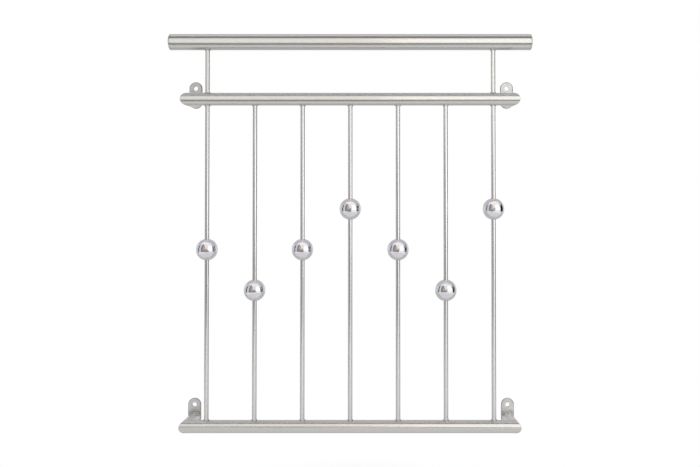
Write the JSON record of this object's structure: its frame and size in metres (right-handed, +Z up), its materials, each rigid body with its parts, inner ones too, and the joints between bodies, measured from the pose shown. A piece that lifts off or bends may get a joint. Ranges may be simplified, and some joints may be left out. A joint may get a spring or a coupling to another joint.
{
  "type": "juliet balcony railing",
  "caption": "Juliet balcony railing in stainless tube: a raised round handrail, mitred rails returned to wall lugs, and upright bars with polished balls at stepped heights.",
  "frame": {"origin": "on the wall face of the lower left lug as seen from outside, on the lug's centre line and level with the lower rail's axis", "axes": "+X along the rails to the right, +Y into the wall, +Z up"},
  "size_m": [0.964, 0.1085, 1.0557],
  "materials": {
    "brushed_tube": "satin, ground round the tube",
    "brushed_bar": "satin, ground round the bar",
    "lug_plate": "satin plate",
    "polished_ball": "mirror polished"
  },
  "bodies": {
    "root": {"handrail": "brushed_tube", "handrail_left_cap": "brushed_tube", "handrail_right_cap": "brushed_tube", "lower_rail": "brushed_tube", "lower_left_return": "brushed_tube", "lower_left_lug": "lug_plate", "lower_right_return": "brushed_tube", "lower_right_lug": "lug_plate", "upper_rail": "brushed_tube", "upper_left_return": "brushed_tube", "upper_left_lug": "lug_plate", "upper_right_return": "brushed_tube", "upper_right_lug": "lug_plate", "bar_1": "brushed_bar", "bar_2": "brushed_bar", "bar_3": "brushed_bar", "bar_4": "brushed_bar", "bar_5": "brushed_bar", "bar_6": "brushed_bar", "bar_7": "brushed_bar", "ball_1": "polished_ball", "ball_2": "polished_ball", "ball_3": "polished_ball", "ball_4": "polished_ball", "ball_5": "polished_ball", "ball_6": "polished_ball", "ball_7": "polished_ball"}
  },
  "joints": []
}
